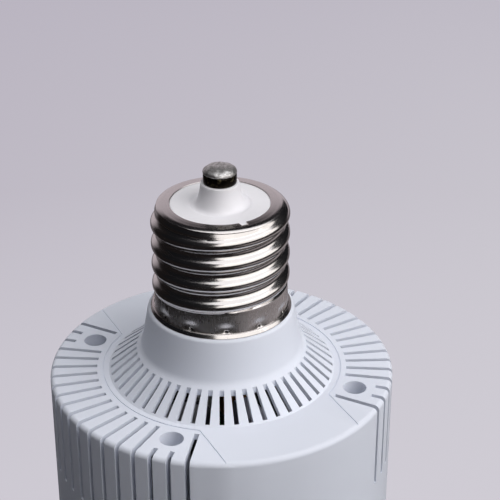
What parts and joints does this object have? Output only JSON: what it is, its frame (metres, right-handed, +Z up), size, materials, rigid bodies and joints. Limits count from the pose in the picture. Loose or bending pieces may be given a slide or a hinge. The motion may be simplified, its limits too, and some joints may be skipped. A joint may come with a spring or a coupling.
{
  "type": "led corn bulb",
  "caption": "High-power LED corn lamp: mogul screw base, slotted driver housing and a faceted column of LED boards, standing on its flat end.",
  "frame": {"origin": "middle of the flat outer face of the end cover, the lamp's free end, which it stands on", "axes": "+Z up the lamp's axis to the screw base's contact; -Y to the key notch in the screw shell's rim"},
  "size_m": [0.1, 0.1, 0.2639],
  "materials": {
    "nickel_shell": "nickel-plated rolled sheet, glossy with fine drawn lines",
    "base_insulator": "white moulded insulator, satin",
    "contact_brass": "dark tarnished brass",
    "solder": "mottled tarnished solder",
    "housing_plastic": "off-white moulded plastic, fine spark texture",
    "screw_steel": "zinc-plated steel",
    "aluminium": "natural aluminium, satin",
    "circuit_board": "green lacquered glass-fibre board",
    "led_board": "white lacquered aluminium board",
    "led_chip": "yellow phosphor in a white frame",
    "opal_cover": "opal plastic, satin",
    "capacitor_sleeve": "black sleeve",
    "film_box": "pale box",
    "ferrite": "dark grey ferrite",
    "coil_tape": "brown tape over copper windings",
    "choke_wire": "enamelled copper",
    "black_plastic": "black moulded plastic",
    "white_plastic": "natural white nylon",
    "varistor_blue": "blue lacquer",
    "red_sleeve": "red insulation",
    "white_sleeve": "white insulation"
  },
  "bodies": {
    "root": {"base_insulator": "base_insulator", "board_screws": "screw_steel", "board_spacers": "white_plastic", "bridge_rectifier": "black_plastic", "bulk_capacitor_1": "capacitor_sleeve", "bulk_capacitor_2": "capacitor_sleeve", "column_screws": "screw_steel", "contact_eyelet": "contact_brass", "driver_board": "circuit_board", "end_board": "led_board", "end_chips": "led_chip", "end_cover": "opal_cover", "end_screws": "screw_steel", "film_capacitor": "film_box", "fuse": "film_box", "heat_sink": "aluminium", "housing_screws": "screw_steel", "input_choke": "choke_wire", "lead_connector": "white_plastic", "led_board_01": "led_board", "led_board_02": "led_board", "led_board_03": "led_board", "led_board_04": "led_board", "led_board_05": "led_board", "led_board_06": "led_board", "led_board_07": "led_board", "led_board_08": "led_board", "led_board_09": "led_board", "led_board_10": "led_board", "led_board_11": "led_board", "led_board_12": "led_board", "led_chips_01": "led_chip", "led_chips_02": "led_chip", "led_chips_03": "led_chip", "led_chips_04": "led_chip", "led_chips_05": "led_chip", "led_chips_06": "led_chip", "led_chips_07": "led_chip", "led_chips_08": "led_chip", "led_chips_09": "led_chip", "led_chips_10": "led_chip", "led_chips_11": "led_chip", "led_chips_12": "led_chip", "live_lead": "red_sleeve", "mounting_plate": "aluminium", "neutral_lead": "white_sleeve", "output_choke": "capacitor_sleeve", "output_leads": "red_sleeve", "power_transistor": "black_plastic", "screw_shell": "nickel_shell", "solder_cap": "solder", "transformer_coil": "coil_tape", "transformer_core": "ferrite", "transistor_heat_sink": "aluminium", "upper_housing": "housing_plastic", "varistor": "varistor_blue"}
  },
  "joints": []
}
